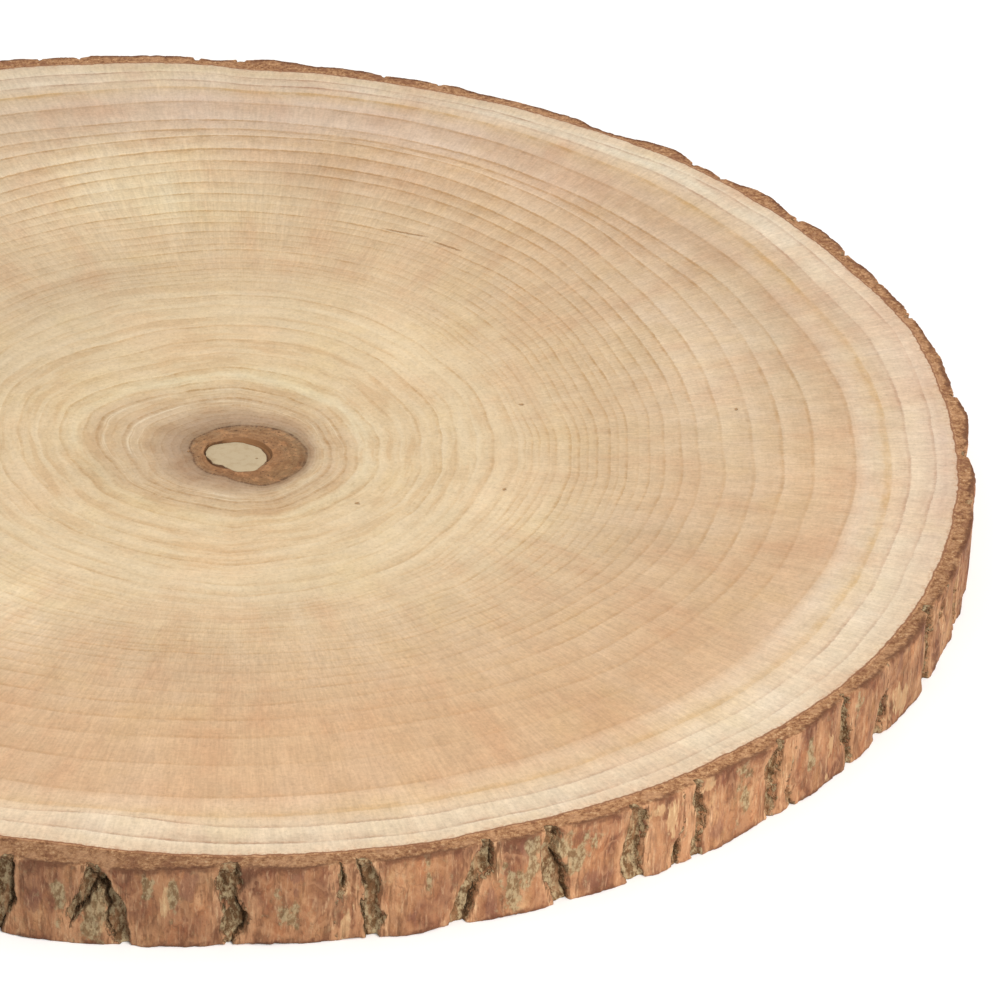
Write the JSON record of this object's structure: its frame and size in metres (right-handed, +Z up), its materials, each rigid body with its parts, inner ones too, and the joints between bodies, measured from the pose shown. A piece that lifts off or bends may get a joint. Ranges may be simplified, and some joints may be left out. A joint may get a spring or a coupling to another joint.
{
  "type": "wood slice",
  "caption": "Thin round cross-cut of a trunk, flat on both sawn faces, with furrowed bark around its rim and a small hollow at the off-centre pith.",
  "frame": {"origin": "middle of the underside, which lies flat on the surface that it rests on", "axes": "+Z up through the slice's thickness, across the growth rings; the slice is seen from -Y, with +X to the right"},
  "size_m": [0.3474, 0.3522, 0.018],
  "materials": {
    "wood": "matte"
  },
  "bodies": {
    "root": {"wood_slice": "wood"}
  },
  "joints": []
}
